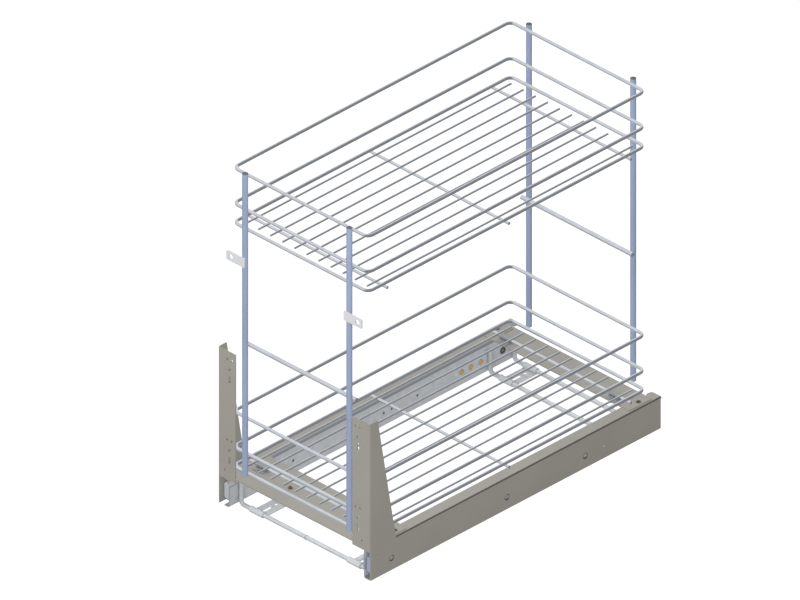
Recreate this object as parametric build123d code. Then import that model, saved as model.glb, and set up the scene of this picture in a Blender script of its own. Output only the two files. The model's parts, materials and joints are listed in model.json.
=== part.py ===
from build123d import *
import os

# Wire basket pull-out for a base cabinet: two baskets on four uprights, carried by two
# sheet side panels on ball-bearing runners that stand on rods and floor plates.
# Millimetres. +X right and +Y into the cabinet as seen from the front, +Z up, floor at Z = 0.

# Overall sizes
unit_width = 260.0
unit_length = 503.0
slide_travel = 450.0

# Side panel with its front bracket
panel_sheet = 1.5
panel_inner_bend = 1.0
panel_lift = 6.8
top_flange_reach = 17.3
top_flange_clearance = 5.85
top_flange_corner = 4.0
rear_return_lip = 0.5
rear_notch_depth = 3.0
rear_notch_length = 4.0
rear_notch_setback = 11.5
bracket_rise = 178.25
bracket_flange_reach = 30.0
bracket_flange_drop = 4.25
gusset_top_depth = 14.0
gusset_foot_depth = 45.0

# Holes in the front flange, in two like groups
fixing_hole = 4.5
fixing_hole_inset = 20.0
lower_group_rise = 38.35
upper_group_drop = 24.9
pair_hole = 3.5
pair_hole_pitch = 7.5
pair_hole_rise = 13.9
fixing_slot_width = 3.5
fixing_slot_length = 10.0
fixing_slot_drop = 14.1
register_hole = 3.5
register_hole_inset = 13.0
register_hole_rise = 8.25

# Holes and rivets in the side of the panel
tool_hole = 3.0
tool_hole_front_setback = 12.0
tool_hole_front_height = 30.7
tool_hole_rear_setback = 99.0
pip_sink = 0.2
first_rivet_setback = 38.0
last_rivet_setback = 131.0
middle_rivet_step = 135.0
panel_rivet_head = 8.6
panel_rivet_shank = 4.0
panel_rivet_sink = 1.0
panel_rivet_tail = 6.0
panel_rivet_tail_height = 1.0

# Cross plates on the panels' top flanges
cross_sheet = 2.0
cross_plate_end_gap = 1.2
front_plate_depth = 67.5
rear_plate_depth = 39.0
rear_plate_setback = 14.0
flange_gap = 0.1
plate_slot_width = 2.5
plate_slot_length = 16.0
plate_slot_step = 13.0
plate_slot_edge = 3.0

# Hollow rivets that hold the cross plates to the flanges
eyelet_head = 6.4
eyelet_head_height = 0.7
eyelet_barrel = 4.6
eyelet_bore = 3.0
eyelet_inset = 9.0
eyelet_edges = (15.5, 17.0)

# Runner: three nested channels with two rows of balls above and below
rail_sheet = 1.2
rail_inner_bend = 1.8
rail_lift = 3.5
rail_height = 40.4
rail_front_gap = 5.0
rail_rear_gap = 4.0
band_height = 17.4
band_step = 0.8
drawer_front_gap = 9.5
drawer_rail_gap = 1.3
outer_ball = 4.0
inner_ball = 3.2
ball_play = 0.3
cage_sheet = 0.6
cage_inner_bend = 0.6
cage_gap = 0.5
cage_rim = 0.75
cage_lip_setback = 0.8
cage_play = 0.2
cage_length = 230.0
cage_margin = 4.5
balls_per_row = 9
buffer_length = 22.0
buffer_rear_gap = 9.0
buffer_side_gap = 0.4
stop_gap = 0.5

# Caps in the front ends of the drawer rails
cap_sheet = 2.4
cap_height = 20.4
cap_corner = 1.5
cap_plug_length = 12.0
cap_play = 0.1
cap_clearance = 0.5

# Holes, rivets, stud and eyelet in the cabinet rail's web
rail_hole = 3.6
rail_hole_setbacks = (114.0, 270.0, 284.0, 328.0)
rail_rivet_setbacks = (99.0, 83.0, 66.0)
rail_rivet_head = 7.0
rail_rivet_head_height = 0.8
rail_rivet_shank = 3.5
rail_stud_setback = 108.0
rail_stud_head = 5.5
rail_eyelet_offset = 7.0
rail_eyelet_head = 9.0
rail_eyelet_barrel = 6.0
rail_eyelet_bore = 4.0
rail_eyelet_head_height = 0.8
pin_hole = 2.4
pin_hole_edge = 5.0
pin_hole_spread = 4.4

# Floor rods and floor plates, one frame at the front and one at the rear
bar_diameter = 5.7
bar_bend = 4.6
bar_leg_drop = 8.4
bar_front_setback = 21.6
bar_rear_setback = 10.4
bar_gap = 0.1
foot_sheet = 1.2
foot_width = 22.0
foot_inset = 27.75
eye_play = 0.05
foot_slot_width = 4.5
foot_slot_length = 14.0
foot_slot_offset = 16.5
foot_hole = 4.5
foot_hole_step = 15.3
foot_tail = 9.8
foot_rib_width = 1.6
foot_rib_rise = 0.6
foot_rib_margin = 3.0
foot_rib_steps = (4.1, 6.5)

# Baskets
ring_wire = 4.5
ring_corner = 8.5
basket_side_gap = 15.0
basket_front_gap = 12.0
basket_rear_gap = 14.0
middle_ring_rise = 27.3
top_ring_rise = 78.0
basket_pitch = 347.1
cross_wire = 4.0
cross_wire_overhang = 5.0
cross_wire_inset = 28.7
floor_wire = 2.8
floor_wire_count = 11
floor_wire_edge_gap = 11.5
floor_wire_end_gap = 10.25
weld_gap = 0.05

# Uprights, crossbars and front tabs
upright_diameter = 7.6
upright_corner_gap = 17.3
upright_top_rise = 5.15
upright_foot_drop = 0.3
crossbar_wire = 5.8
crossbar_overhang = 5.8
crossbar_rise = 183.9
tab_sheet = 2.0
tab_height = 13.0
tab_corner = 1.6
tab_inner_overlap = 4.3
tab_reach = 26.6
tab_drop = 41.3
tab_hole = 7.0
tab_hole_inset = 7.5

# Clips and screws that hold the lower basket to the cross plates
clip_sheet = 1.0
clip_width = 17.5
clip_play = 0.1
clip_foot = 10.2
clip_screw_offset = 4.7
screw_head = 5.6
screw_head_height = 1.8
screw_head_round = 0.6
screw_shank = 3.0
screw_shank_length = 6.0
screw_recess_width = 0.8
screw_recess_length = 3.1
screw_recess_depth = 0.9
hole_play = 0.1
plate_screw_x = -38.0
plate_screw_setback = 32.0

# Heights and widths of the runner, from its sheets, cages and balls
front_y = -unit_length / 2
rear_y = unit_length / 2
panel_outer_x = unit_width / 2
panel_inner_x = panel_outer_x - panel_sheet
rail_mid_z = rail_lift + rail_height / 2
outer_cage_width = cage_sheet + outer_ball + 2 * (cage_play + cage_rim)
inner_cage_width = cage_sheet + inner_ball + 2 * (cage_play + cage_rim)
cage_space = cage_gap + cage_sheet + cage_gap
rail_depth = (band_step + 2 * rail_sheet + cage_space + cage_gap + inner_cage_width
              + cage_lip_setback + drawer_rail_gap + rail_sheet)
rail_inner_x = panel_inner_x - rail_depth
cabinet_web_x = rail_inner_x + band_step
outer_cage_x = cabinet_web_x + rail_sheet + cage_gap
outer_cage_lip_x = outer_cage_x + outer_cage_width
cabinet_lip_x = outer_cage_lip_x + cage_lip_setback
middle_web_x = cabinet_web_x + rail_sheet + cage_space
inner_cage_x = middle_web_x + rail_sheet + cage_gap
inner_cage_lip_x = inner_cage_x + inner_cage_width
middle_lip_x = inner_cage_lip_x + cage_lip_setback
drawer_lip_x = middle_web_x + rail_sheet + cage_space
middle_height = rail_height - 2 * (rail_sheet + outer_ball + 2 * ball_play)
drawer_height = middle_height - 2 * (rail_sheet + inner_ball + 2 * ball_play)
outer_ball_x = outer_cage_lip_x - cage_rim - cage_play - outer_ball / 2
inner_ball_x = inner_cage_lip_x - cage_rim - cage_play - inner_ball / 2
outer_ball_rise = (middle_height + outer_ball) / 2 + ball_play
inner_ball_rise = (drawer_height + inner_ball) / 2 + ball_play

# Places along the runner
rail_front_y = front_y + rail_front_gap
rail_rear_y = rear_y - rail_rear_gap
buffer_rear_y = rail_rear_y - buffer_rear_gap
buffer_front_y = buffer_rear_y - buffer_length
moving_rail_rear_y = buffer_front_y - stop_gap
cage_front_y = rail_front_y + slide_travel / 4 + cage_margin
cage_rear_y = cage_front_y + cage_length
rail_eyelet_y = buffer_front_y + rail_eyelet_offset
drawer_front_y = front_y + drawer_front_gap
cap_rear_y = drawer_front_y - cap_play
middle_front_y = cap_rear_y + cap_clearance
last_rivet_y = rear_y - last_rivet_setback
panel_rivet_ys = (front_y + first_rivet_setback, last_rivet_y - middle_rivet_step, last_rivet_y)

# Places of the panel and its cross plates
panel_top_z = rail_lift + rail_height + top_flange_clearance + panel_sheet
bracket_top_z = panel_top_z + bracket_rise
bracket_flange_z = panel_top_z - bracket_flange_drop
fixing_hole_x = panel_outer_x - fixing_hole_inset
fixing_hole_zs = (panel_top_z + lower_group_rise, bracket_top_z - upper_group_drop)
cross_top_z = panel_top_z + cross_sheet
cross_half_width = panel_inner_x - cross_plate_end_gap
front_plate_rear_y = front_y + front_plate_depth
rear_plate_rear_y = rear_y - rear_plate_setback
rear_plate_front_y = rear_plate_rear_y - rear_plate_depth
eyelet_x = panel_outer_x - eyelet_inset
eyelet_ys = (front_plate_rear_y - eyelet_edges[0], rear_plate_rear_y - eyelet_edges[1])

# Places of the floor rods and floor plates
bar_pitch = foot_slot_offset + foot_hole_step + foot_tail
eye_radius = bar_diameter / 2 + eye_play + foot_sheet
bar_z = eye_radius
bar_leg_x = rail_inner_x - bar_gap - bar_diameter / 2
bar_leg_top_z = rail_lift + rail_height - bar_leg_drop
front_bar_ys = (front_y + bar_front_setback, front_y + bar_front_setback + bar_pitch)
rear_bar_ys = (rear_y - bar_rear_setback - bar_pitch, rear_y - bar_rear_setback)
foot_x = bar_leg_x - foot_inset

# Places of the baskets, uprights and clips
ring_half_width = unit_width / 2 - basket_side_gap
ring_half_length = (unit_length - basket_front_gap - basket_rear_gap) / 2
basket_y = front_y + basket_front_gap + ring_half_length
lower_cross_wire_z = cross_top_z + clip_sheet + clip_play + cross_wire / 2
cross_wire_depth = (cross_wire + ring_wire) / 2 + weld_gap
lower_ring_z = lower_cross_wire_z + cross_wire_depth
upper_ring_z = lower_ring_z + basket_pitch
cross_wire_step = ring_half_length - cross_wire_inset
cross_wire_ys = (basket_y - cross_wire_step, basket_y, basket_y + cross_wire_step)
floor_wire_pitch = 2 * (ring_half_width - floor_wire_edge_gap) / (floor_wire_count - 1)
upright_x = ring_half_width - ring_corner - upright_corner_gap
upright_step = ring_half_length + (ring_wire + upright_diameter) / 2 + weld_gap
crossbar_step = upright_step - (upright_diameter + crossbar_wire) / 2 - weld_gap
crossbar_z = lower_ring_z + crossbar_rise
crossbar_length = 2 * (upright_x + crossbar_overhang)
tab_rear_y = basket_y - upright_step - upright_diameter / 2 - weld_gap
tab_z = upper_ring_z - tab_drop
clip_x = (floor_wire_count / 2 - 1) * floor_wire_pitch
clip_ys = (cross_wire_ys[0], cross_wire_ys[-1])
clip_screw_ys = tuple(y - cross_wire / 2 - clip_screw_offset for y in clip_ys)


def along_x(profile, x_low, x_high):
    """Push a profile drawn in (Y, Z) through from x_low to x_high."""
    return extrude(Plane.YZ.offset(x_low) * profile, x_high - x_low, dir=(1, 0, 0))


def along_y(profile, y_low, y_high):
    """Push a profile drawn in (X, Z) through from y_low to y_high."""
    return extrude(Plane.XZ.offset(-y_low) * profile, y_high - y_low, dir=(0, 1, 0))


def block(x_low, x_high, y_low, y_high, z_low, z_high):
    """Rectangular block between two corners."""
    centre = ((x_low + x_high) / 2, (y_low + y_high) / 2, (z_low + z_high) / 2)
    return Pos(*centre) * Box(x_high - x_low, y_high - y_low, z_high - z_low)


def rod_x(x, y, z, diameter, length):
    """Round bar or hole along X, centred on a point."""
    return Pos(x, y, z) * Rot(0, 90, 0) * Cylinder(diameter / 2, length)


def rod_y(x, y, z, diameter, length):
    """Round bar or hole along Y, centred on a point."""
    return Pos(x, y, z) * Rot(90, 0, 0) * Cylinder(diameter / 2, length)


def rod_z(x, y, z, diameter, length):
    """Round bar or hole along Z, centred on a point."""
    return Pos(x, y, z) * Cylinder(diameter / 2, length)


def angle_profile(leg_x, leg_y, sheet, inner_bend):
    """L-shaped sheet profile: bend at the origin, legs along -X and -Y."""
    middle = Pos(-leg_x, -leg_y)
    outer = middle * RectangleRounded(2 * leg_x, 2 * leg_y, inner_bend + sheet)
    inner = middle * RectangleRounded(2 * (leg_x - sheet), 2 * (leg_y - sheet), inner_bend)
    corner = Pos(-leg_x / 2, -leg_y / 2) * Rectangle(leg_x, leg_y)
    return (outer - inner) & corner


def channel_profile(web_x, lip_x, height, sheet, inner_bend):
    """C-shaped sheet profile in (X, Z): web at web_x, lips that reach to lip_x."""
    reach = abs(lip_x - web_x)
    middle = Pos(lip_x, rail_mid_z)
    outer = middle * RectangleRounded(2 * reach, height, inner_bend + sheet)
    inner = middle * RectangleRounded(2 * (reach - sheet), height - 2 * sheet, inner_bend)
    half = Pos((web_x + lip_x) / 2, rail_mid_z) * Rectangle(reach, height)
    return (outer - inner) & half


def slot_along_y(x, y, z, length, width, depth):
    """Cutter for a slot that runs along Y and goes down through a level plate at z."""
    outline = Rot(0, 0, 90) * SlotOverall(length, width)
    return extrude(Pos(x, y, z - depth / 2) * outline, depth)


def group(shapes):
    """Like pieces that share a node, kept as separate solids."""
    return Compound(children=[solid for shape in shapes for solid in shape.solids()])


def front_flange_holes():
    """Cutters for the two hole groups and the register hole in the right front flange."""
    x = fixing_hole_x
    y = front_y + panel_sheet / 2
    through = 4 * panel_sheet
    cutters = []
    for z in fixing_hole_zs:
        cutters.append(rod_y(x, y, z, fixing_hole, through))
        for side in (-1, 1):
            pair_x = x + side * pair_hole_pitch / 2
            cutters.append(rod_y(pair_x, y, z + pair_hole_rise, pair_hole, through))
        slot = Rot(0, 0, 90) * SlotOverall(fixing_slot_length, fixing_slot_width)
        slot = Pos(x, z - fixing_slot_drop) * slot
        cutters.append(along_y(slot, y - through / 2, y + through / 2))
    register_x = panel_outer_x - register_hole_inset
    register_z = panel_top_z + register_hole_rise
    cutters.append(rod_y(register_x, y, register_z, register_hole, through))
    return cutters


def panel_side_holes():
    """Cutters for the countersunk rivet holes and the tool holes in the right panel's side."""
    through = 4 * panel_sheet
    x = panel_outer_x - panel_sheet / 2
    small_radius = panel_rivet_shank / 2 + hole_play
    large_radius = panel_rivet_head / 2 + hole_play
    cutters = []
    for y in panel_rivet_ys:
        cutters.append(rod_x(x, y, rail_mid_z, 2 * small_radius, through))
        sink = Cone(small_radius, large_radius, panel_sheet)
        cutters.append(Pos(x, y, rail_mid_z) * Rot(0, 90, 0) * sink)
    front_z = panel_lift + tool_hole_front_height
    cutters.append(rod_x(x, front_y + tool_hole_front_setback, front_z, tool_hole, through))
    cutters.append(rod_x(x, rear_y - tool_hole_rear_setback, rail_mid_z, tool_hole, through))
    return cutters


def top_flange_cuts():
    """Cutters for the notch, the rounded rear corner and the eyelet holes of the right top flange."""
    edge_x = panel_outer_x - top_flange_reach
    z_low = panel_top_z - 2 * panel_sheet
    z_high = panel_top_z + panel_sheet
    notch_y = rear_y - rear_notch_setback
    notch = block(edge_x - panel_sheet, edge_x + rear_notch_depth,
                  notch_y - rear_notch_length / 2, notch_y + rear_notch_length / 2, z_low, z_high)
    round_x = edge_x + top_flange_corner
    round_y = rear_y - top_flange_corner
    corner = block(edge_x - panel_sheet, round_x, round_y, rear_y + panel_sheet, z_low, z_high)
    corner -= rod_z(round_x, round_y, panel_top_z, 2 * top_flange_corner, 8 * panel_sheet)
    cutters = [notch, corner]
    for y in eyelet_ys:
        hole = eyelet_barrel + 2 * hole_play
        cutters.append(rod_z(eyelet_x, y, panel_top_z, hole, 4 * panel_sheet))
    return cutters


def side_panel():
    """Right side panel: web, top flange, rear return and the front bracket with its gusset."""
    height = panel_top_z - panel_lift
    outer_bend = panel_inner_bend + panel_sheet
    trough = angle_profile(top_flange_reach, height, panel_sheet, panel_inner_bend)
    panel = along_y(Pos(panel_outer_x, panel_top_z) * trough, front_y + panel_sheet, rear_y)

    bracket_plane = Plane((panel_outer_x, front_y, bracket_flange_z), x_dir=(1, 0, 0), z_dir=(0, 0, -1))
    bracket_profile = angle_profile(bracket_flange_reach, gusset_foot_depth, panel_sheet, panel_inner_bend)
    bracket = extrude(bracket_plane * bracket_profile, bracket_top_z - bracket_flange_z, dir=(0, 0, 1))
    slope = make_face(Polyline(
        (front_y + gusset_top_depth, bracket_top_z),
        (front_y + gusset_foot_depth, panel_top_z),
        (front_y + 2 * gusset_foot_depth, panel_top_z),
        (front_y + 2 * gusset_foot_depth, bracket_top_z),
        close=True))
    bracket -= along_x(slope, panel_inner_x - panel_sheet, panel_outer_x + panel_sheet)

    return_reach = outer_bend + rear_return_lip
    return_profile = angle_profile(return_reach, return_reach, panel_sheet, panel_inner_bend)
    return_plane = Plane((panel_outer_x, rear_y, panel_lift))
    rear_return = extrude(return_plane * return_profile, height - outer_bend, dir=(0, 0, 1))
    rear_corner = block(panel_outer_x - outer_bend, panel_outer_x + panel_sheet,
                        rear_y - outer_bend, rear_y + panel_sheet,
                        panel_lift - panel_sheet, panel_top_z - outer_bend)
    panel = panel - rear_corner + rear_return + bracket
    return panel - front_flange_holes() - panel_side_holes() - top_flange_cuts()


def plate_holes(eyelet_y, screw_y):
    """Cutters that both cross plates share: eyelets and clip screws."""
    through = 4 * cross_sheet
    eyelet_hole = eyelet_barrel + 2 * hole_play
    screw_hole = screw_shank + 2 * hole_play
    cutters = []
    for side in (-1, 1):
        cutters.append(rod_z(side * eyelet_x, eyelet_y, cross_top_z, eyelet_hole, through))
        cutters.append(rod_z(side * clip_x, screw_y, cross_top_z, screw_hole, through))
    return cutters


def front_cross_plate():
    """Flat plate on the top flanges, level with the brackets' front faces between them."""
    inner_half = panel_outer_x - bracket_flange_reach - flange_gap
    wing_y = front_y + panel_sheet + flange_gap
    plate = block(-inner_half, inner_half, front_y, front_plate_rear_y, panel_top_z, cross_top_z)
    plate += block(-cross_half_width, cross_half_width, wing_y, front_plate_rear_y,
                   panel_top_z, cross_top_z)
    screw_y = front_y + plate_screw_setback
    screw_hole = rod_z(plate_screw_x, screw_y, cross_top_z, screw_shank + 2 * hole_play, 4 * cross_sheet)
    return plate - plate_holes(eyelet_ys[0], clip_screw_ys[0]) - screw_hole


def rear_cross_plate():
    """Flat plate on the top flanges near the rear, with a narrow slot beside each clip."""
    plate = block(-cross_half_width, cross_half_width, rear_plate_front_y, rear_plate_rear_y,
                  panel_top_z, cross_top_z)
    slot_y = rear_plate_rear_y - plate_slot_edge - plate_slot_length / 2
    for side in (-1, 1):
        x = side * (clip_x + plate_slot_step)
        plate -= slot_along_y(x, slot_y, cross_top_z, plate_slot_length, plate_slot_width, 4 * cross_sheet)
    return plate - plate_holes(eyelet_ys[1], clip_screw_ys[1])


def plate_eyelets():
    """Hollow rivets through the cross plates and the panels' top flanges."""
    stack = cross_sheet + panel_sheet
    head_z = cross_top_z + eyelet_head_height / 2
    stack_z = cross_top_z - stack / 2
    tail_z = cross_top_z - stack - eyelet_head_height / 2
    eyelets = []
    for side in (-1, 1):
        x = side * eyelet_x
        for y in eyelet_ys:
            head = rod_z(x, y, head_z, eyelet_head, eyelet_head_height)
            barrel = rod_z(x, y, stack_z, eyelet_barrel, stack)
            tail = rod_z(x, y, tail_z, eyelet_head - eyelet_head_height, eyelet_head_height)
            bore = rod_z(x, y, stack_z, eyelet_bore, 3 * stack)
            eyelets.append(head + barrel + tail - bore)
    return group(eyelets)


def cabinet_rail():
    """Right fixed channel: open towards the panel, with a raised band along its web."""
    profile = channel_profile(cabinet_web_x, cabinet_lip_x, rail_height, rail_sheet, rail_inner_bend)
    band_back_x = cabinet_web_x + rail_sheet
    band = Pos((rail_inner_x + band_back_x) / 2, rail_mid_z)
    profile += band * Rectangle(band_back_x - rail_inner_x, band_height)
    profile -= Pos(band_back_x, rail_mid_z) * Rectangle(2 * band_step, band_height - 2 * rail_sheet)
    rail = along_y(profile, rail_front_y, rail_rear_y)

    holes = [(front_y + setback, 0, rail_hole) for setback in rail_hole_setbacks]
    for setback in (*rail_rivet_setbacks, rail_stud_setback):
        holes.append((rear_y - setback, 0, rail_rivet_shank + 2 * hole_play))
    holes.append((rail_eyelet_y, 0, rail_eyelet_barrel + 2 * hole_play))
    for side in (-1, 1):
        holes.append((buffer_rear_y - pin_hole_edge, side * pin_hole_spread / 2, pin_hole))
    through = 6 * rail_sheet
    return rail - [rod_x(rail_inner_x, y, rail_mid_z + rise, hole, through) for y, rise, hole in holes]


def rail_rivets(setbacks, head_diameter):
    """Right row of flat-headed rivets in the cabinet rail's web."""
    head_x = rail_inner_x - rail_rivet_head_height / 2
    tail_x = rail_inner_x + rail_sheet + band_step / 2
    rivets = []
    for setback in setbacks:
        y = rear_y - setback
        head = rod_x(head_x, y, rail_mid_z, head_diameter, rail_rivet_head_height)
        shank = rod_x(rail_inner_x + rail_sheet / 2, y, rail_mid_z, rail_rivet_shank, rail_sheet)
        tail = rod_x(tail_x, y, rail_mid_z, head_diameter - band_step, band_step)
        rivets.append(head + shank + tail)
    return group(rivets)


def rail_eyelet():
    """Right eyelet that holds the rear buffer to the cabinet rail."""
    length = rail_sheet + 2 * band_step
    head_x = rail_inner_x - rail_eyelet_head_height / 2
    head = rod_x(head_x, rail_eyelet_y, rail_mid_z, rail_eyelet_head, rail_eyelet_head_height)
    barrel = rod_x(rail_inner_x + length / 2, rail_eyelet_y, rail_mid_z, rail_eyelet_barrel, length)
    bore = rod_x(rail_inner_x, rail_eyelet_y, rail_mid_z, rail_eyelet_bore, 6 * length)
    return head + barrel - bore


def rear_buffer():
    """Right rubber block at the rear of the cabinet rail, where the moving rails stop."""
    x_low = cabinet_web_x + rail_sheet
    half_height = rail_height / 2 - rail_sheet - buffer_side_gap
    buffer = block(x_low, cabinet_lip_x, buffer_front_y, buffer_rear_y,
                   rail_mid_z - half_height, rail_mid_z + half_height)
    buffer = fillet(buffer.edges().filter_by(Axis.Y), rail_inner_bend)
    seat = rail_eyelet_barrel + 2 * hole_play
    return buffer - rod_x(x_low, rail_eyelet_y, rail_mid_z, seat, 2 * rail_sheet)


def middle_rail():
    """Right middle channel, between the cabinet rail and the drawer rail."""
    profile = channel_profile(middle_web_x, middle_lip_x, middle_height, rail_sheet, rail_inner_bend)
    return along_y(profile, middle_front_y, moving_rail_rear_y)


def drawer_rail():
    """Right drawer channel, riveted to the panel and located by a pip in its rear hole."""
    profile = channel_profile(panel_inner_x, drawer_lip_x, drawer_height, rail_sheet, rail_inner_bend)
    rail = along_y(profile, drawer_front_y, moving_rail_rear_y)
    pip_length = panel_sheet - pip_sink
    rail += rod_x(panel_inner_x + pip_length / 2, rear_y - tool_hole_rear_setback, rail_mid_z,
                  tool_hole - 2 * hole_play, pip_length)
    shank = panel_rivet_shank + 2 * hole_play
    return rail - [rod_x(panel_inner_x, y, rail_mid_z, shank, 4 * rail_sheet) for y in panel_rivet_ys]


def front_cap():
    """Right cap that closes the drawer rail's front end, with a plug inside the channel."""
    x_high = panel_inner_x - rail_sheet - rail_inner_bend
    half_height = cap_height / 2
    plug_half_height = drawer_height / 2 - rail_sheet - cap_play
    cap = block(middle_web_x, x_high, cap_rear_y - cap_sheet, cap_rear_y,
                rail_mid_z - half_height, rail_mid_z + half_height)
    cap = fillet(cap.edges().filter_by(Axis.Y), cap_corner)
    return cap + block(drawer_lip_x, x_high, cap_rear_y, cap_rear_y + cap_plug_length,
                       rail_mid_z - plug_half_height, rail_mid_z + plug_half_height)


def panel_rivets():
    """Right countersunk rivets that hold the drawer rail to the side panel."""
    cone_height = panel_sheet - panel_rivet_sink
    sink_slope = (panel_rivet_head - panel_rivet_shank) / 2 / panel_sheet
    head_radius = panel_rivet_shank / 2 + sink_slope * cone_height
    tail_x = panel_inner_x - rail_sheet - panel_rivet_tail_height / 2
    rivets = []
    for y in panel_rivet_ys:
        cone = Cone(panel_rivet_shank / 2, head_radius, cone_height)
        head = Pos(panel_inner_x + cone_height / 2, y, rail_mid_z) * Rot(0, 90, 0) * cone
        shank = rod_x(panel_inner_x - rail_sheet / 2, y, rail_mid_z, panel_rivet_shank, rail_sheet)
        tail = rod_x(tail_x, y, rail_mid_z, panel_rivet_tail, panel_rivet_tail_height)
        rivets.append(head + shank + tail)
    return group(rivets)


def ball_ys():
    """Places of the balls along a cage."""
    pitch = cage_length / balls_per_row
    return [cage_front_y + (step + 0.5) * pitch for step in range(balls_per_row)]


def ball_cage(web_x, lip_x, ball_x, ball_rise, ball):
    """Right cage: a thin channel whose lips hold a row of balls above and below."""
    profile = channel_profile(web_x, lip_x, 2 * ball_rise + cage_sheet, cage_sheet, cage_inner_bend)
    cage = along_y(profile, cage_front_y, cage_rear_y)
    pocket = ball + 2 * cage_play
    return cage - [rod_z(ball_x, y, rail_mid_z, pocket, 3 * ball_rise) for y in ball_ys()]


def ball_set(ball_x, ball_rise, ball):
    """Right balls of one cage, in two rows."""
    balls = []
    for side in (-1, 1):
        for y in ball_ys():
            balls.append(Pos(ball_x, y, rail_mid_z + side * ball_rise) * Sphere(ball / 2))
    return group(balls)


def floor_bar(y):
    """Rod across the floor, bent up at both ends against the cabinet rails' webs."""
    leg_top = (-bar_leg_x, y, bar_leg_top_z)
    route = FilletPolyline(leg_top, (-bar_leg_x, y, bar_z), (bar_leg_x, y, bar_z),
                           (bar_leg_x, y, bar_leg_top_z), radius=bar_bend)
    section = Plane(leg_top, z_dir=(0, 0, -1)) * Circle(bar_diameter / 2)
    return sweep(section, path=route)


def foot_plate(bar_ys, x):
    """Floor plate with a rolled eye round each of its two rods, a slot, a hole and ribs."""
    y_first, y_last = bar_ys
    profile = Pos((y_first + y_last) / 2, foot_sheet / 2) * Rectangle(y_last - y_first, foot_sheet)
    for y in bar_ys:
        profile += Pos(y, bar_z) * Circle(eye_radius)
    for y in bar_ys:
        profile -= Pos(y, bar_z) * Circle(eye_radius - foot_sheet)
    plate = along_x(profile, x - foot_width / 2, x + foot_width / 2)

    slot_y = y_first + foot_slot_offset
    hole_y = slot_y + foot_hole_step
    rib_half = foot_width / 2 - foot_rib_margin
    for step in foot_rib_steps:
        for side in (-1, 1):
            y = hole_y + side * step
            plate += block(x - rib_half, x + rib_half, y - foot_rib_width / 2, y + foot_rib_width / 2,
                           foot_sheet / 2, foot_sheet + foot_rib_rise)
    through = 4 * (foot_sheet + foot_rib_rise)
    plate -= rod_z(x, hole_y, foot_sheet, foot_hole, through)
    return plate - slot_along_y(x, slot_y, foot_sheet, foot_slot_length, foot_slot_width, through)


def ring(z):
    """Closed basket ring with rounded corners."""
    y_low = basket_y - ring_half_length
    y_high = basket_y + ring_half_length
    route = FilletPolyline(
        (ring_half_width, y_low, z), (ring_half_width, y_high, z),
        (-ring_half_width, y_high, z), (-ring_half_width, y_low, z),
        radius=ring_corner, close=True)
    section = Plane(route @ 0, z_dir=route % 0) * Circle(ring_wire / 2)
    return sweep(section, path=route)


def cross_wires(ring_z):
    """Wires across the underside of a basket's bottom ring."""
    z = ring_z - cross_wire_depth
    length = 2 * (ring_half_width + cross_wire_overhang)
    return group([rod_x(0, y, z, cross_wire, length) for y in cross_wire_ys])


def floor_wires(ring_z):
    """Wires along the basket's floor, lying on its cross wires."""
    z = ring_z - cross_wire_depth + (cross_wire + floor_wire) / 2 + weld_gap
    length = 2 * (ring_half_length - floor_wire_end_gap)
    first_x = floor_wire_edge_gap - ring_half_width
    xs = [first_x + step * floor_wire_pitch for step in range(floor_wire_count)]
    return group([rod_y(x, basket_y, z, floor_wire, length) for x in xs])


def upright(x, y):
    """Round post outside the rings, from the lowest ring to just above the highest."""
    z_low = lower_ring_z - upright_foot_drop
    z_high = upper_ring_z + top_ring_rise + upright_top_rise
    return rod_z(x, y, (z_low + z_high) / 2, upright_diameter, z_high - z_low)


def crossbar(y):
    """Round bar between two uprights, on the side that faces the baskets."""
    return rod_x(0, y, crossbar_z, crossbar_wire, crossbar_length)


def front_tab():
    """Right flat tab with a hole, on the front of its upright."""
    x_high = upright_x + tab_reach
    y_low = tab_rear_y - tab_sheet
    tab = block(upright_x - tab_inner_overlap, x_high, y_low, tab_rear_y,
                tab_z - tab_height / 2, tab_z + tab_height / 2)
    tab = fillet(tab.edges().filter_by(Axis.Y).sort_by(Axis.X)[-2:], tab_corner)
    return tab - rod_y(x_high - tab_hole_inset, y_low, tab_z, tab_hole, 4 * tab_sheet)


def basket_clips():
    """Sheet loops round the lower cross wires, each with a foot on its cross plate."""
    inner = cross_wire / 2 + clip_play
    screw_hole = screw_shank + 2 * hole_play
    clips = []
    for y, screw_y in zip(clip_ys, clip_screw_ys):
        profile = Pos(y, lower_cross_wire_z) * Circle(inner + clip_sheet)
        profile += Pos(y - clip_foot / 2, cross_top_z + clip_sheet / 2) * Rectangle(clip_foot, clip_sheet)
        profile -= Pos(y, lower_cross_wire_z) * Circle(inner)
        for side in (-1, 1):
            x = side * clip_x
            clip = along_x(profile, x - clip_width / 2, x + clip_width / 2)
            clips.append(clip - rod_z(x, screw_y, cross_top_z, screw_hole, 4 * clip_sheet))
    return group(clips)


def screw(x, y, seat_z):
    """Pan-head screw with a cross recess, its head on seat_z and its shank down."""
    head = rod_z(x, y, seat_z + screw_head_height / 2, screw_head, screw_head_height)
    head = fillet(head.edges().sort_by(Axis.Z)[-1:], screw_head_round)
    shank = rod_z(x, y, seat_z - screw_shank_length / 2, screw_shank, screw_shank_length)
    body = head + shank
    for turn in (0, 90):
        recess = Box(screw_recess_length, screw_recess_width, 2 * screw_recess_depth)
        body -= Pos(x, y, seat_z + screw_head_height) * Rot(0, 0, turn) * recess
    return body


def clip_screws():
    """Screws through the clips' feet into the cross plates."""
    seat_z = cross_top_z + clip_sheet
    places = [(side * clip_x, y) for side in (-1, 1) for y in clip_screw_ys]
    return group([screw(x, y, seat_z) for x, y in places])


# All the nodes, by name
nodes = {}


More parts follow.
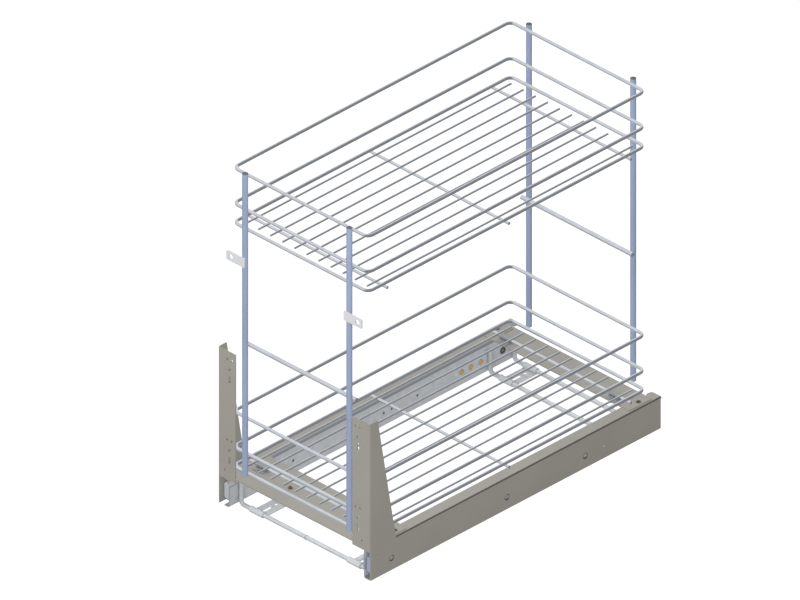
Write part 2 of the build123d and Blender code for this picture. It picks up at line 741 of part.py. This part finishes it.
def add_pair(name, right_shape):
    """Add a right-hand piece and its mirrored left-hand twin."""
    nodes["right_" + name] = right_shape
    nodes["left_" + name] = mirror(right_shape, about=Plane.YZ)


# Fixed frame on the cabinet floor
add_pair("cabinet_rail", cabinet_rail())
add_pair("rail_rivets", rail_rivets(rail_rivet_setbacks, rail_rivet_head))
add_pair("rail_stud", rail_rivets((rail_stud_setback,), rail_stud_head))
add_pair("rail_eyelet", rail_eyelet())
add_pair("rear_buffer", rear_buffer())
for place, bar_ys in (("front", front_bar_ys), ("rear", rear_bar_ys)):
    nodes[place + "_first_floor_bar"] = floor_bar(bar_ys[0])
    nodes[place + "_second_floor_bar"] = floor_bar(bar_ys[1])
    nodes[place + "_left_foot_plate"] = foot_plate(bar_ys, -foot_x)
    nodes[place + "_right_foot_plate"] = foot_plate(bar_ys, foot_x)

# Middle rails and ball cages
outer_row = (outer_ball_x, outer_ball_rise, outer_ball)
inner_row = (inner_ball_x, inner_ball_rise, inner_ball)
add_pair("middle_rail", middle_rail())
add_pair("outer_ball_cage", ball_cage(outer_cage_x, outer_cage_lip_x, *outer_row))
add_pair("outer_balls", ball_set(*outer_row))
add_pair("inner_ball_cage", ball_cage(inner_cage_x, inner_cage_lip_x, *inner_row))
add_pair("inner_balls", ball_set(*inner_row))

# Sliding carriage
add_pair("drawer_rail", drawer_rail())
add_pair("front_cap", front_cap())
add_pair("side_panel", side_panel())
add_pair("panel_rivets", panel_rivets())
nodes["front_cross_plate"] = front_cross_plate()
nodes["rear_cross_plate"] = rear_cross_plate()
nodes["plate_eyelets"] = plate_eyelets()
nodes["basket_clips"] = basket_clips()
nodes["clip_screws"] = clip_screws()
nodes["plate_screw"] = screw(plate_screw_x, front_y + plate_screw_setback, cross_top_z)
for place, side in (("front", -1), ("rear", 1)):
    add_pair(place + "_upright", upright(upright_x, basket_y + side * upright_step))
    nodes[place + "_crossbar"] = crossbar(basket_y + side * crossbar_step)
add_pair("front_tab", front_tab())
for place, ring_z in (("lower", lower_ring_z), ("upper", upper_ring_z)):
    nodes[place + "_bottom_ring"] = ring(ring_z)
    nodes[place + "_middle_ring"] = ring(ring_z + middle_ring_rise)
    nodes[place + "_top_ring"] = ring(ring_z + top_ring_rise)
    nodes[place + "_cross_wires"] = cross_wires(ring_z)
    nodes[place + "_floor_wires"] = floor_wires(ring_z)

os.makedirs("parts", exist_ok=True)
for name, shape in nodes.items():
    export_step(shape, os.path.join("parts", name + ".step"))
print(len(nodes), "nodes written")
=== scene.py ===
import json
import math

import bmesh
import bpy
from mathutils import Matrix, Vector


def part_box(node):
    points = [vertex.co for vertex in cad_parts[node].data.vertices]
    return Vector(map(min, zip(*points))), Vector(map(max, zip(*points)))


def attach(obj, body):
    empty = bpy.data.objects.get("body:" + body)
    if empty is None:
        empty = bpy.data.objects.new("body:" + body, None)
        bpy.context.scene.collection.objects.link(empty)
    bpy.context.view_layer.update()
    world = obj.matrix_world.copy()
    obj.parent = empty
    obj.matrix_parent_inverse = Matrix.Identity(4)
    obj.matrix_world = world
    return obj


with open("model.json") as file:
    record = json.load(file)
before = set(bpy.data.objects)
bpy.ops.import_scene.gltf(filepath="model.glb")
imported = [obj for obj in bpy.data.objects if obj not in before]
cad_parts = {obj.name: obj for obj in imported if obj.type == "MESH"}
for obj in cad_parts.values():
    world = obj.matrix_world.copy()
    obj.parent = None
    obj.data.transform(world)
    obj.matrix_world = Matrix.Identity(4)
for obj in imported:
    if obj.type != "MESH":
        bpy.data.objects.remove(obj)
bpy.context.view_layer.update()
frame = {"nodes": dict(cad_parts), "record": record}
nodes = frame["nodes"]

# Camera: a parallel view from the front right, in metres and degrees
camera_azimuth = 44.8
camera_elevation = 31.55
camera_target = Vector((0.0, -0.0685, 0.272))
camera_distance = 3.0
camera_reach = 40.0
picture_width = 0.9716

# Studio floor: pale, and glowing like a light table
floor_half_size = 12.0
floor_drop = 0.0002
floor_glow = 1.0
floor_bounce = 0.35
floor_tone = (0.20, 0.20, 0.20)
floor_roughness = 0.9

# Studio sky: bright on the left, dark on the right, with other gains where it is mirrored
white = (1.0, 1.0, 1.0)
sky_tint = (0.97, 0.985, 1.0)
sky_left = 1.05
sky_right = 0.26
gloss_left = 0.92
gloss_right = 1.22
underside_left = 0.65
underside_right = 0.25
sky_left_x = -0.35
sky_right_x = 0.25
horizon_low = -0.15
horizon_high = 0.10

# Soft lights beside the camera: one for everything, and an accent for the uprights and the floor frame
light_distance = 2.5
light_size = 1.4
fill_power = 24.0
accent_power = 50.0

# Welds, in metres, but for the spread, which is a share of the rod's radius
wire_weld = 0.0006
wire_weld_height = 0.00036
ring_weld_height = 0.00042
upright_weld = 0.0010
post_weld_depth = 0.00048
tab_weld_depth = 0.00042
tab_weld_step = 0.0035
butt_weld_swell = 0.0006
butt_weld_width = 0.0015
leg_bead = 0.0006
leg_bead_sink = 0.00042
leg_bead_margin = 0.006
leg_bead_spread = 0.8

# Fastener details, and the rings of painted shadow round the panel rivets, in metres
shade_ring_bead = 0.00035
shade_ring_setback = 0.00045
shade_ring_radius = 0.0038
dome_rise = 0.0006
dome_margin = 0.0007
core_sink = 0.0009
core_rise = 0.0005
core_radius = 0.0019

# Fineness of the meshes
same_point = 1e-6
weld_detail = 2
dome_detail = 3
ring_steps = 40
bead_steps = 10

# Part of a noise's range, or of the painted shade in crevices, that counts
soft_contrast = (0.30, 0.70)
sharp_contrast = (0.35, 0.65)
sparse_contrast = (0.45, 0.75)
crevice_shade_contrast = (0.35, 0.85)

# Crystals to the metre, rolling lines to the metre along X, Y and Z, and stretched noise
crystal_scale = 170.0
even_grain = (300.0, 300.0, 300.0)
rail_grain = (260.0, 4.0, 260.0)
tab_grain = (60.0, 60.0, 8.0)
clip_grain = (40.0, 300.0, 300.0)
unstretched = (1.0, 1.0, 1.0)
upright_stretch = (1.0, 1.0, 0.4)

# Parts of the surface's direction at which painted shade on a bend, on a bar's upper end or on a top, or
# the darker cut end of a sheet, starts and is full
bend_shade_range = (0.22, 0.40)
bar_end_shade_range = (0.80, 0.95)
sheet_end_range = (0.85, 0.98)
top_shade_range = (0.04, 0.25)

# Painted shade at the front of the cabinet rails, from full to none along Y, in metres
front_shade_full_y = -0.222
front_shade_end_y = -0.214

# Tones, as shares of the finish's own colour, several of them painted shade, and how much of speckle,
# lines and dust shows
speckle_tone = 0.80
speckle_share = 0.10
bend_shade_tone = 0.32
bar_end_shade_tone = 0.30
crystal_dark = 0.93
crystal_pale = 1.05
line_tone = 0.82
line_share = 0.25
crevice_shade_tone = 0.45
fastener_crevice_shade_tone = 0.35
dust_share = 0.35

# Inputs and output of the colour mixing node, which has several of the same name
mix_factor, mix_first, mix_second, mix_result = 0, 6, 7, 2

# Finished materials by name
materials = {}


# Node helpers

def shade(colour, tone=1.0):
    """Opaque colour multiplied by a tone."""
    return tuple(channel * tone for channel in colour) + (1.0,)


def plug(tree, node, links):
    """Give a node's inputs, by name or number, their values or the sockets that feed them."""
    for key, value in links.items():
        if isinstance(value, bpy.types.NodeSocket):
            tree.links.new(value, node.inputs[key])
        else:
            node.inputs[key].default_value = value


def add_node(tree, kind, links=None, **settings):
    """New node: settings are its properties, links its inputs."""
    node = tree.nodes.new(kind)
    for key, value in settings.items():
        setattr(node, key, value)
    plug(tree, node, links or {})
    return node


def start_material(name):
    """New entry in materials, returned as its node tree and its Principled shader."""
    material = bpy.data.materials.new(name)
    material.use_nodes = True
    materials[name] = material
    return material.node_tree, material.node_tree.nodes["Principled BSDF"]


def object_coordinates(tree, stretch=unstretched):
    """Coordinates fixed to the piece, in metres, with each axis stretched."""
    source = add_node(tree, "ShaderNodeTexCoord").outputs["Object"]
    mapping = add_node(tree, "ShaderNodeMapping", {"Vector": source, "Scale": stretch})
    return mapping.outputs["Vector"]


def split(tree, vector):
    """Outputs X, Y and Z of a vector."""
    return add_node(tree, "ShaderNodeSeparateXYZ", {"Vector": vector}).outputs


def surface_normal(tree):
    """Outputs X, Y and Z of the surface's direction."""
    return split(tree, add_node(tree, "ShaderNodeNewGeometry").outputs["Normal"])


def math_node(tree, operation, *values):
    """Result of a math node."""
    return add_node(tree, "ShaderNodeMath", dict(enumerate(values)), operation=operation).outputs["Value"]


def remap(tree, value, low, high, out_low=0.0, out_high=1.0):
    """Value from the range low..high moved smoothly to out_low..out_high."""
    links = {"Value": value, "From Min": low, "From Max": high, "To Min": out_low, "To Max": out_high}
    return add_node(tree, "ShaderNodeMapRange", links, interpolation_type="SMOOTHSTEP").outputs["Result"]


def noise(tree, scale, detail=3.0, stretch=unstretched):
    """Grey noise with about scale bumps to the metre."""
    links = {"Vector": object_coordinates(tree, stretch), "Scale": scale, "Detail": detail}
    return add_node(tree, "ShaderNodeTexNoise", links).outputs["Fac"]


def patches(tree, scale, low=0.0, high=1.0, detail=3.0, stretch=unstretched, contrast=soft_contrast):
    """Noise with about scale patches to the metre, as values from low to high."""
    return remap(tree, noise(tree, scale, detail, stretch), *contrast, low, high)


def blend_colours(tree, factor, first, second, blend_type="MIX"):
    """Colour mixed from two colours or sockets."""
    links = {mix_factor: factor, mix_first: first, mix_second: second}
    node = add_node(tree, "ShaderNodeMix", links, data_type="RGBA", blend_type=blend_type)
    return node.outputs[mix_result]


def clouded(tree, colour, dark, pale, **pattern):
    """Colour that drifts between a dark and a pale tone in patches."""
    return blend_colours(tree, patches(tree, **pattern), shade(colour, dark), shade(colour, pale))


def painted_crevice_shade(tree, coat, dark, reach, depth):
    """Coat with painted shade, dark by up to depth, in corners closer than reach."""
    occlusion = add_node(tree, "ShaderNodeAmbientOcclusion", {"Distance": reach}, samples=6)
    factor = remap(tree, occlusion.outputs["AO"], *crevice_shade_contrast, 1.0 - depth, 1.0)
    return blend_colours(tree, factor, dark, coat)


def bumped_normal(tree, height, strength, distance, edge_radius):
    """Normal with a bump on top of softly rounded edges."""
    edge = add_node(tree, "ShaderNodeBevel", {"Radius": edge_radius}, samples=4).outputs["Normal"]
    links = {"Height": height, "Strength": strength, "Distance": distance, "Normal": edge}
    return add_node(tree, "ShaderNodeBump", links).outputs["Normal"]


# Kinds of finish

def powder_coat(name, colour):
    """Powder coat: faint clouding, speckle, orange peel, a dark line of painted shade along each long
    bend and in the countersinks.
    """
    tree, shader = start_material(name)
    coat = clouded(tree, colour, dark=0.97, pale=1.03, scale=14.0)
    speckle = patches(tree, scale=1500.0, high=speckle_share, detail=2.0, contrast=sharp_contrast)
    coat = blend_colours(tree, speckle, coat, shade(colour, speckle_tone))
    # Painted shade: darker where the surface turns from the side towards the top or the rear, as on the
    # long bends and in the countersinks
    normal = surface_normal(tree)
    side = math_node(tree, "ABSOLUTE", normal["X"])
    tilt = math_node(tree, "MAXIMUM", math_node(tree, "ABSOLUTE", normal["Z"]), normal["Y"])
    bend = remap(tree, math_node(tree, "MULTIPLY", side, tilt), *bend_shade_range)
    coat = blend_colours(tree, bend, coat, shade(colour, bend_shade_tone))
    peel = noise(tree, scale=900.0, detail=2.0)
    plug(tree, shader, {
        # Base colour with painted shade in the corners
        "Base Color": painted_crevice_shade(tree, coat, shade(colour, crevice_shade_tone), reach=0.003, depth=0.15),
        "Roughness": patches(tree, scale=90.0, low=0.40, high=0.52),
        "Normal": bumped_normal(tree, peel, strength=0.12, distance=0.0002, edge_radius=0.0004),
        "Specular IOR Level": 0.35,
    })


def plated_wire(name, colour, metallic, roughness):
    """Bright plated wire: a faint drawn texture and slightly uneven gloss between two roughnesses."""
    tree, shader = start_material(name)
    drawn = noise(tree, scale=2200.0, detail=2.0)
    plug(tree, shader, {
        "Base Color": clouded(tree, colour, dark=0.94, pale=1.04, scale=60.0),
        "Roughness": patches(tree, 350.0, *roughness),
        "Normal": bumped_normal(tree, drawn, strength=0.05, distance=0.0001, edge_radius=0.0004),
        "Metallic": metallic,
    })


def satin_lacquer(name, colour):
    """Smooth satin lacquer on round bar, a little uneven along its length, with a dark upper end of
    painted shade.
    """
    tree, shader = start_material(name)
    coat = clouded(tree, colour, dark=0.95, pale=1.05, scale=25.0, detail=4.0, stretch=upright_stretch)
    # Painted shade: the upward-facing end of the bar is darkened
    end = remap(tree, surface_normal(tree)["Z"], *bar_end_shade_range)
    flow = noise(tree, scale=800.0, detail=2.0)
    plug(tree, shader, {
        "Base Color": blend_colours(tree, end, coat, shade(colour, bar_end_shade_tone)),
        "Roughness": patches(tree, scale=120.0, low=0.30, high=0.42),
        "Normal": bumped_normal(tree, flow, strength=0.06, distance=0.0002, edge_radius=0.0005),
        "Metallic": 0.10,
    })


def rolled_zinc(name, colour, metallic, grain, end_tone=1.0, front_shade_tone=1.0, top_shade_tone=1.0):
    """Zinc-plated sheet: crystals, rolling lines, darker cut ends along Y, painted shade at the front and
    on top.
    """
    tree, shader = start_material(name)
    links = {"Vector": object_coordinates(tree), "Scale": crystal_scale, "Randomness": 1.0}
    cells = add_node(tree, "ShaderNodeTexVoronoi", links).outputs["Color"]
    crystal = add_node(tree, "ShaderNodeSeparateColor", {"Color": cells}).outputs["Red"]
    metal = blend_colours(tree, crystal, shade(colour, crystal_dark), shade(colour, crystal_pale))
    lines = patches(tree, scale=1.0, stretch=grain, contrast=sharp_contrast)
    faint_lines = math_node(tree, "MULTIPLY", lines, line_share)
    metal = blend_colours(tree, faint_lines, metal, shade(colour, line_tone))
    # Painted shade in the corners
    metal = painted_crevice_shade(tree, metal, shade(colour, crevice_shade_tone), reach=0.003, depth=0.15)
    end = remap(tree, math_node(tree, "ABSOLUTE", surface_normal(tree)["Y"]), *sheet_end_range)
    metal = blend_colours(tree, end, metal, shade(colour, end_tone))
    # Painted shade, darker towards the front end, used by the cabinet rails
    film_and_front_shade = remap(tree, split(tree, object_coordinates(tree))["Y"], front_shade_full_y, front_shade_end_y, 1.0, 0.0)
    metal = blend_colours(tree, film_and_front_shade, metal, shade(colour, front_shade_tone), "DARKEN")
    # Painted shade on upward-facing surfaces, used on the cabinet rails' upper bends under the panels'
    # flanges
    top = remap(tree, surface_normal(tree)["Z"], *top_shade_range)
    dull = math_node(tree, "MULTIPLY", math_node(tree, "ADD", crystal, lines), 0.5)
    plug(tree, shader, {
        "Base Color": blend_colours(tree, top, metal, shade(colour, top_shade_tone), "DARKEN"),
        "Roughness": remap(tree, dull, low=0.0, high=1.0, out_low=0.34, out_high=0.50),
        "Normal": bumped_normal(tree, lines, strength=0.08, distance=0.0001, edge_radius=0.0003),
        "Metallic": metallic,
    })


def yellow_metal(name, colour, film_colour):
    """Passivated fasteners, clouded between the colours of the metal and its film."""
    tree, shader = start_material(name)
    film_and_front_shade = blend_colours(tree, patches(tree, scale=420.0), shade(colour), shade(film_colour))
    dark = shade(colour, fastener_crevice_shade_tone)
    pitting = noise(tree, scale=2600.0)
    plug(tree, shader, {
        # Base colour with painted shade in the corners
        "Base Color": painted_crevice_shade(tree, film_and_front_shade, dark, reach=0.002, depth=0.3),
        "Roughness": patches(tree, scale=900.0, low=0.25, high=0.42),
        "Normal": bumped_normal(tree, pitting, strength=0.08, distance=0.0001, edge_radius=0.0003),
        "Metallic": 0.30,
    })


def moulded(name, colour, dust_colour, roughness):
    """Matt moulding with a fine mould texture and a little dust."""
    tree, shader = start_material(name)
    dust = patches(tree, scale=140.0, high=dust_share, detail=5.0, contrast=sparse_contrast)
    texture = noise(tree, scale=1800.0)
    plug(tree, shader, {
        "Base Color": blend_colours(tree, dust, shade(colour), shade(dust_colour)),
        "Roughness": patches(tree, 600.0, *roughness),
        "Normal": bumped_normal(tree, texture, strength=0.25, distance=0.0001, edge_radius=0.0005),
    })


# Finishes by slot, and those that a few nodes have of their own

powder_coat("panel_lacquer", (0.425, 0.405, 0.357))
satin_lacquer("upright_lacquer", (0.25, 0.30, 0.43))
plated_wire("wire_chrome", (0.64, 0.66, 0.70), metallic=1.0, roughness=(0.19, 0.23))
plated_wire("bar_zinc", (0.57, 0.585, 0.605), metallic=0.50, roughness=(0.28, 0.32))
plated_wire("ball_steel", (0.70, 0.71, 0.73), metallic=1.0, roughness=(0.08, 0.14))
# The cabinet rails take painted shade at the front and on their upper bends
rolled_zinc("rail_zinc", (0.79, 0.82, 0.85), metallic=0.20, grain=rail_grain,
            end_tone=0.55, front_shade_tone=0.88, top_shade_tone=0.44)
rolled_zinc("middle_rail_zinc", (0.60, 0.64, 0.72), metallic=0.15, grain=rail_grain, end_tone=0.65)
rolled_zinc("foot_zinc", (0.53, 0.55, 0.56), metallic=0.20, grain=rail_grain)
rolled_zinc("cage_steel", (0.62, 0.63, 0.65), metallic=0.30, grain=rail_grain)
rolled_zinc("tab_zinc", (0.88, 0.89, 0.91), metallic=0.10, grain=tab_grain)
rolled_zinc("clip_steel", (0.37, 0.37, 0.385), metallic=0.30, grain=clip_grain)
rolled_zinc("steel_fastener", (0.56, 0.56, 0.56), metallic=0.30, grain=even_grain)
rolled_zinc("dark_fastener", (0.15, 0.135, 0.11), metallic=0.30, grain=even_grain)
yellow_metal("brass_fastener", (0.95, 0.50, 0.07), film_colour=(0.98, 0.62, 0.20))
yellow_metal("dark_brass", (0.13, 0.09, 0.045), film_colour=(0.22, 0.15, 0.07))
# Duller, darker rim of the rail rivets: painted shade at the edge of their heads
yellow_metal("shaded_rivet_rim", (0.50, 0.43, 0.32), film_colour=(0.57, 0.50, 0.40))
moulded("cap_nylon", (0.40, 0.46, 0.68), dust_colour=(0.50, 0.54, 0.68), roughness=(0.40, 0.52))
moulded("left_cap_nylon", (0.57, 0.60, 0.62), dust_colour=(0.64, 0.65, 0.66), roughness=(0.40, 0.52))
moulded("buffer_rubber", (0.020, 0.020, 0.021), dust_colour=(0.09, 0.09, 0.09), roughness=(0.62, 0.80))
own_finishes = {
    "left_front_cap": "left_cap_nylon",
    # The rail rivets' rims take the darker finish of painted shade
    "left_rail_rivets": "shaded_rivet_rim",
    "right_rail_rivets": "shaded_rivet_rim",
}
shadowless_slots = ("wire_chrome", "upright_lacquer", "panel_lacquer")


def clear_shadow(piece, slot):
    """Let the even studio light pass the thin wires and sheets, as in a light tent."""
    if slot in shadowless_slots:
        piece.visible_shadow = False
        piece.visible_diffuse = False
        piece.visible_glossy = False


def dress_nodes():
    """Give every CAD node the finish of its slot, or its own."""
    for subpart in frame["record"]["subparts"]:
        node, slot = subpart["node"], subpart["material_slot"]
        piece = nodes[node]
        piece.data.materials.clear()
        piece.data.materials.append(materials[own_finishes.get(node, slot)])
        clear_shadow(piece, slot)


# Mesh helpers

def solids_of(node):
    """Lowest and highest corner of each separate solid in a CAD node."""
    mesh = bmesh.new()
    mesh.from_mesh(nodes[node].data)
    bmesh.ops.remove_doubles(mesh, verts=mesh.verts, dist=same_point)
    unseen = set(mesh.verts)
    boxes = []
    while unseen:
        front = [unseen.pop()]
        members = []
        while front:
            vertex = front.pop()
            members.append(vertex.co.copy())
            for edge in vertex.link_edges:
                other = edge.other_vert(vertex)
                if other in unseen:
                    unseen.remove(other)
                    front.append(other)
        low = Vector(min(point[axis] for point in members) for axis in range(3))
        high = Vector(max(point[axis] for point in members) for axis in range(3))
        boxes.append((low, high))
    mesh.free()
    return sorted(boxes, key=lambda box: tuple(box[0]))


def middle(box):
    """Middle of a box."""
    return (box[0] + box[1]) / 2


def add_nugget(mesh, centre, half_sizes, detail=weld_detail):
    """Rounded nugget with its half sizes along X, Y and Z."""
    place = Matrix.Translation(centre) @ Matrix.Diagonal((*half_sizes, 1.0))
    bmesh.ops.create_icosphere(mesh, subdivisions=detail, radius=1.0, matrix=place)


def add_ring(mesh, centre, radius, bead):
    """Round bead that runs in a ring about the X axis."""
    loops = []
    for step in range(ring_steps):
        turn = 2 * math.pi * step / ring_steps
        outward = Vector((0.0, math.cos(turn), math.sin(turn)))
        loop = []
        for corner in range(bead_steps):
            angle = 2 * math.pi * corner / bead_steps
            offset = outward * (radius + bead * math.cos(angle))
            loop.append(mesh.verts.new(centre + offset + Vector((bead * math.sin(angle), 0.0, 0.0))))
        loops.append(loop)
    for here, there in zip(loops, loops[1:] + loops[:1]):
        for corner in range(bead_steps):
            following = (corner + 1) % bead_steps
            mesh.faces.new((here[corner], here[following], there[following], there[corner]))


def finish_piece(name, mesh, slot, body):
    """Turn a bmesh into a smooth piece that rides on a body with a slot's finish."""
    data = bpy.data.meshes.new(name)
    mesh.to_mesh(data)
    mesh.free()
    data.shade_smooth()
    piece = bpy.data.objects.new(name, data)
    bpy.context.scene.collection.objects.link(piece)
    data.materials.append(materials[slot])
    clear_shadow(piece, slot)
    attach(piece, body)


# Welds

def basket_welds(level):
    """Welds of one basket: floor wires on cross wires, and cross wires on the bottom ring."""
    mesh = bmesh.new()
    ring_low, ring_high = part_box(level + "_bottom_ring")
    ring_radius = (ring_high.z - ring_low.z) / 2
    for cross_box in solids_of(level + "_cross_wires"):
        cross = middle(cross_box)
        for wire_box in solids_of(level + "_floor_wires"):
            height = (cross_box[1].z + wire_box[0].z) / 2
            centre = Vector((middle(wire_box).x, cross.y, height))
            add_nugget(mesh, centre, (wire_weld, wire_weld, wire_weld_height))
        height = (cross_box[1].z + ring_low.z) / 2
        for ring_x in (ring_low.x + ring_radius, ring_high.x - ring_radius):
            centre = Vector((ring_x, cross.y, height))
            add_nugget(mesh, centre, (upright_weld, upright_weld, ring_weld_height))
    finish_piece(level + "_basket_welds", mesh, "wire_chrome", "carriage")


def upright_welds():
    """Welds of the uprights to the rings, the crossbars and the front tabs."""
    mesh = bmesh.new()
    rings = [level + "_" + ring for level in ("lower", "upper")
             for ring in ("bottom_ring", "middle_ring", "top_ring")]
    for side in ("left", "right"):
        for end in ("front", "rear"):
            post_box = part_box(side + "_" + end + "_upright")
            post_face = post_box[1].y if end == "front" else post_box[0].y
            for node in rings + [end + "_crossbar"]:
                centre = Vector((middle(post_box).x, post_face, middle(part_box(node)).z))
                add_nugget(mesh, centre, (upright_weld, post_weld_depth, upright_weld))
        front_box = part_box(side + "_front_upright")
        tab_height = middle(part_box(side + "_front_tab")).z
        for step in (-tab_weld_step, tab_weld_step):
            centre = Vector((middle(front_box).x, front_box[0].y, tab_height + step))
            add_nugget(mesh, centre, (upright_weld, tab_weld_depth, upright_weld))
    finish_piece("upright_welds", mesh, "wire_chrome", "carriage")


def bar_welds():
    """Beads beside the floor rods' legs, and the butt weld in the middle of each rod."""
    mesh = bmesh.new()
    rail_faces = (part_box("left_cabinet_rail")[1].x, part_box("right_cabinet_rail")[0].x)
    for end in ("front", "rear"):
        for order in ("first", "second"):
            bar_low, bar_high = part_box(end + "_" + order + "_floor_bar")
            radius = (bar_high.y - bar_low.y) / 2
            bar_y = (bar_low.y + bar_high.y) / 2
            swell = radius + butt_weld_swell
            add_nugget(mesh, Vector((0.0, bar_y, bar_low.z + radius)), (butt_weld_width, swell, swell))
            leg_low = bar_low.z + leg_bead_margin + 2 * radius
            leg_high = bar_high.z - leg_bead_margin
            leg_z = (leg_low + leg_high) / 2
            bead_sizes = (leg_bead, leg_bead, (leg_high - leg_low) / 2)
            for rail_face in rail_faces:
                bead_x = rail_face - math.copysign(leg_bead_sink, rail_face)
                for step in (-radius * leg_bead_spread, radius * leg_bead_spread):
                    add_nugget(mesh, Vector((bead_x, bar_y + step, leg_z)), bead_sizes)
    finish_piece("bar_welds", mesh, "bar_zinc", "base")


# Fastener details, and the painted shadow round the panel rivets

def rivet_shade_rings():
    """Dark ring round each panel rivet, in the mouth of its countersink: a painted shadow of the recess,
    made as a thin piece.
    """
    mesh = bmesh.new()
    for side, inward in (("left", 1.0), ("right", -1.0)):
        panel_low, panel_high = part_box(side + "_side_panel")
        face_x = panel_low.x if side == "left" else panel_high.x
        for box in solids_of(side + "_panel_rivets"):
            rivet = middle(box)
            # Painted shadow: a thin dark ring where the countersink's recess lies in shade
            centre = Vector((face_x + inward * shade_ring_setback, rivet.y, rivet.z))
            add_ring(mesh, centre, shade_ring_radius, shade_ring_bead)
    bmesh.ops.recalc_face_normals(mesh, faces=mesh.faces)
    finish_piece("rivet_shade_rings", mesh, "dark_fastener", "carriage")


def rivet_domes():
    """Low crowns on the flat heads of the rivets in the cabinet rails."""
    mesh = bmesh.new()
    for side in ("left", "right"):
        for low, high in solids_of(side + "_rail_rivets"):
            face_x = high.x if side == "left" else low.x
            radius = (high.z - low.z) / 2 - dome_margin
            centre = Vector((face_x, (low.y + high.y) / 2, (low.z + high.z) / 2))
            add_nugget(mesh, centre, (dome_rise, radius, radius), dome_detail)
    finish_piece("rivet_domes", mesh, "brass_fastener", "base")


def eyelet_cores():
    """Round end of the buffer's pin in the bore of each rail eyelet."""
    mesh = bmesh.new()
    for side, inward in (("left", 1.0), ("right", -1.0)):
        low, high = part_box(side + "_rail_eyelet")
        face_x = high.x if side == "left" else low.x
        centre = Vector((face_x - inward * core_sink, (low.y + high.y) / 2, (low.z + high.z) / 2))
        add_nugget(mesh, centre, (core_rise, core_radius, core_radius), dome_detail)
    finish_piece("eyelet_cores", mesh, "steel_fastener", "base")


# Studio

def white_floor():
    """Large pale floor that glows like a light table, so that shadows stay faint."""
    mesh = bmesh.new()
    bmesh.ops.create_grid(mesh, x_segments=1, y_segments=1, size=floor_half_size)
    bmesh.ops.translate(mesh, verts=mesh.verts, vec=(0.0, 0.0, -floor_drop))
    data = bpy.data.meshes.new("studio_floor")
    mesh.to_mesh(data)
    mesh.free()
    floor = bpy.data.objects.new("studio_floor", data)
    bpy.context.scene.collection.objects.link(floor)
    tree, shader = start_material("studio_floor")
    seen = add_node(tree, "ShaderNodeLightPath").outputs["Is Camera Ray"]
    plug(tree, shader, {
        "Base Color": shade(floor_tone),
        "Roughness": floor_roughness,
        "Specular IOR Level": 0.0,
        "Emission Color": shade(white),
        "Emission Strength": remap(tree, seen, 0.0, 1.0, floor_bounce, floor_glow),
    })
    data.materials.append(materials["studio_floor"])
    floor.visible_glossy = False


def sky_side(tree, right_share, left_share, underside, sky, gloss):
    """Brightness of one side of the sky, below and above the horizon and where it is mirrored."""
    direction = split(tree, add_node(tree, "ShaderNodeTexCoord").outputs["Generated"])
    mirrored = add_node(tree, "ShaderNodeLightPath").outputs["Is Glossy Ray"]
    share = remap(tree, direction["X"], sky_right_x, sky_left_x, right_share, left_share)
    level = remap(tree, direction["Z"], horizon_low, horizon_high, underside, sky)
    gain = remap(tree, mirrored, 0.0, 1.0, 1.0, gloss)
    return math_node(tree, "MULTIPLY", math_node(tree, "MULTIPLY", share, level), gain)


def studio_sky():
    """Surroundings: bright on the left and above, dark on the right and below, white backdrop."""
    world = bpy.data.worlds.new("studio")
    bpy.context.scene.world = world
    world.use_nodes = True
    tree = world.node_tree
    tree.nodes.clear()
    left = sky_side(tree, 0.0, 1.0, underside_left, sky_left, gloss_left)
    right = sky_side(tree, 1.0, 0.0, underside_right, sky_right, gloss_right)
    level = math_node(tree, "ADD", left, right)
    lighting = add_node(tree, "ShaderNodeBackground", {"Color": shade(sky_tint), "Strength": level})
    backdrop = add_node(tree, "ShaderNodeBackground", {"Color": shade(white), "Strength": 1.0})
    seen = add_node(tree, "ShaderNodeLightPath").outputs["Is Camera Ray"]
    links = {0: seen, 1: lighting.outputs[0], 2: backdrop.outputs[0]}
    mixed = add_node(tree, "ShaderNodeMixShader", links)
    add_node(tree, "ShaderNodeOutputWorld", {"Surface": mixed.outputs[0]})


def view_direction():
    """Direction from the target to the camera."""
    azimuth = math.radians(camera_azimuth)
    elevation = math.radians(camera_elevation)
    return Vector((math.sin(azimuth) * math.cos(elevation),
                   -math.cos(azimuth) * math.cos(elevation),
                   math.sin(elevation)))


def face_target(thing, distance):
    """Add a light or camera to the scene on the line of sight, facing the target from a distance."""
    thing.location = camera_target + view_direction() * distance
    thing.rotation_euler = (-view_direction()).to_track_quat("-Z", "Y").to_euler()
    bpy.context.scene.collection.objects.link(thing)


def front_light(name, power):
    """Wide soft light beside the camera, so that no shadow falls where it can be seen."""
    lamp = bpy.data.lights.new(name, "AREA")
    lamp.size = light_size
    lamp.energy = power
    light = bpy.data.objects.new(name, lamp)
    light.visible_glossy = False
    face_target(light, light_distance)
    return light


def accent_light():
    """Soft front light on the uprights and the floor frame alone, so that their round shapes show."""
    lit = bpy.data.collections.new("accent_lit")
    for end in ("front", "rear"):
        for side in ("left", "right"):
            lit.objects.link(nodes[side + "_" + end + "_upright"])
            lit.objects.link(nodes[end + "_" + side + "_foot_plate"])
        for order in ("first", "second"):
            lit.objects.link(nodes[end + "_" + order + "_floor_bar"])
    front_light("accent", accent_power).light_linking.receiver_collection = lit


def parallel_camera():
    """Orthographic camera that faces the target at the chosen azimuth and elevation."""
    data = bpy.data.cameras.new("camera")
    data.type = "ORTHO"
    data.ortho_scale = picture_width
    data.clip_end = camera_reach
    camera = bpy.data.objects.new("camera", data)
    face_target(camera, camera_distance)
    bpy.context.scene.camera = camera


dress_nodes()
basket_welds("lower")
basket_welds("upper")
upright_welds()
bar_welds()
rivet_shade_rings()
rivet_domes()
eyelet_cores()
white_floor()
studio_sky()
front_light("fill", fill_power)
accent_light()
parallel_camera()
bpy.context.scene.view_settings.view_transform = "Standard"
